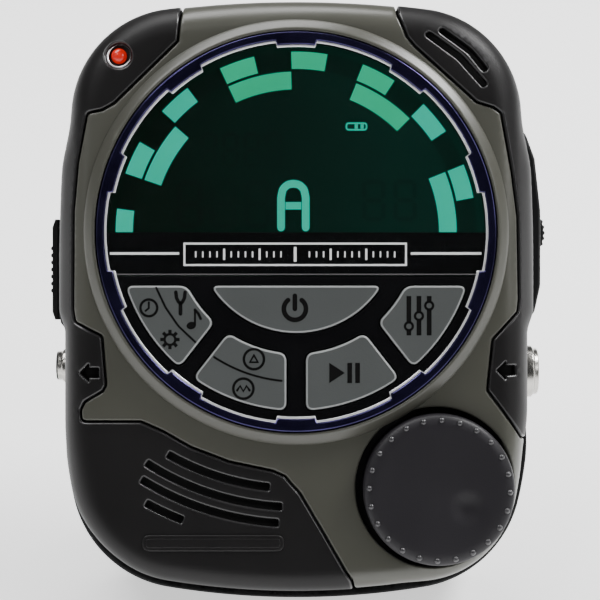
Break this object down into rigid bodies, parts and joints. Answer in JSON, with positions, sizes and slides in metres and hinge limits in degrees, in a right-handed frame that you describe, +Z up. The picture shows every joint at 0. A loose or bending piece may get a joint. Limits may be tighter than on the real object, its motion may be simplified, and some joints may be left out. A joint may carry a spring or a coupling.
{
  "type": "handheld instrument tuner",
  "caption": "Handheld strobe tuner and metronome with a round display face, data wheel, keypad, side jacks, volume thumbwheel and a fold-out tilt stand.",
  "frame": {"origin": "middle of the contact face of the rubber base pad, on the desk", "axes": "+Z up, +X to the user's right as they face the display, -Y towards the user; the face leans back 30 degrees from upright"},
  "size_m": [0.1056, 0.085, 0.1186],
  "materials": {
    "shell_plastic": "olive grey moulded plastic, fine satin texture",
    "black_plastic": "black moulded plastic, fine texture",
    "grip_rubber": "black soft-touch rubber",
    "key_rubber": "grey silicone key",
    "bezel_chrome": "dark violet tinted bright plating",
    "steel": "bright nickel-plated steel",
    "brass": "turned brass",
    "clear_lens": "clear acrylic window",
    "lcd_glass": "dark green display",
    "white_plastic": "white diffuser",
    "board": "green circuit board",
    "red_lens": "red lens",
    "tin": "tinned can",
    "cloth": "open black cloth",
    "wire_red": "red wire covering"
  },
  "bodies": {
    "case": {"front_shell": "shell_plastic", "rear_shell": "black_plastic", "key_frame": "black_plastic", "lcd_frame": "black_plastic", "input_jack": "black_plastic", "output_jack": "black_plastic", "speaker": "black_plastic", "speaker_leads": "black_plastic", "left_grip": "grip_rubber", "right_grip": "grip_rubber", "base_pad": "grip_rubber", "keypad_mat": "grip_rubber", "bezel_ring": "bezel_chrome", "input_jack_nut": "steel", "output_jack_nut": "steel", "usb_socket": "steel", "hinge_pin": "steel", "case_screw_1": "steel", "case_screw_2": "steel", "case_screw_3": "steel", "case_screw_4": "steel", "case_screw_5": "steel", "case_screw_6": "steel", "board_screw_1": "steel", "board_screw_2": "steel", "board_screw_3": "steel", "tripod_insert": "brass", "display_lens": "clear_lens", "lcd_panel": "lcd_glass", "backlight": "white_plastic", "main_board": "board", "status_led": "red_lens", "encoder": "tin", "volume_pot": "tin", "battery": "tin", "microphone": "tin", "speaker_cloth": "cloth", "battery_leads": "wire_red"},
    "data_wheel_unit": {"data_wheel": "grip_rubber", "encoder_shaft": "steel"},
    "volume_wheel_unit": {"volume_wheel": "black_plastic"},
    "port_cover_flap": {"port_cover": "grip_rubber"},
    "stand_leg": {"tilt_stand": "black_plastic", "stand_pad": "grip_rubber"},
    "key_menu_cap": {"key_menu": "key_rubber"},
    "key_note_cap": {"key_note": "key_rubber"},
    "key_power_cap": {"key_power": "key_rubber"},
    "key_play_cap": {"key_play": "key_rubber"},
    "key_levels_cap": {"key_levels": "key_rubber"}
  },
  "joints": [
    {"name": "data_wheel_turn", "type": "hinge", "parent": "case", "child": "data_wheel_unit", "pos_m": [0.0291, -0.0136, 0.03434], "axis": [0, -0.866, 0.5], "continuous": true},
    {"name": "volume_wheel_turn", "type": "hinge", "parent": "case", "child": "volume_wheel_unit", "pos_m": [0.0459, 0.03068, 0.07003], "axis": [0, -0.866, 0.5], "range_deg": [-135, 135]},
    {"name": "port_cover_open", "type": "hinge", "parent": "case", "child": "port_cover_flap", "pos_m": [-0.0506, 0.03062, 0.06094], "axis": [0, -0.5, -0.866], "range_deg": [0, 100]},
    {"name": "stand_fold", "type": "hinge", "parent": "case", "child": "stand_leg", "pos_m": [0, 0.0282, 0.05034], "axis": [1, 0, 0], "range_deg": [-42, 0]},
    {"name": "key_menu_press", "type": "slide", "parent": "case", "child": "key_menu_cap", "axis": [0, 0.866, -0.5], "range_m": [0, 0.0008], "stiffness_N_per_m": 1500},
    {"name": "key_note_press", "type": "slide", "parent": "case", "child": "key_note_cap", "axis": [0, 0.866, -0.5], "range_m": [0, 0.0008], "stiffness_N_per_m": 1500},
    {"name": "key_power_press", "type": "slide", "parent": "case", "child": "key_power_cap", "axis": [0, 0.866, -0.5], "range_m": [0, 0.0008], "stiffness_N_per_m": 1500},
    {"name": "key_play_press", "type": "slide", "parent": "case", "child": "key_play_cap", "axis": [0, 0.866, -0.5], "range_m": [0, 0.0008], "stiffness_N_per_m": 1500},
    {"name": "key_levels_press", "type": "slide", "parent": "case", "child": "key_levels_cap", "axis": [0, 0.866, -0.5], "range_m": [0, 0.0008], "stiffness_N_per_m": 1500}
  ]
}
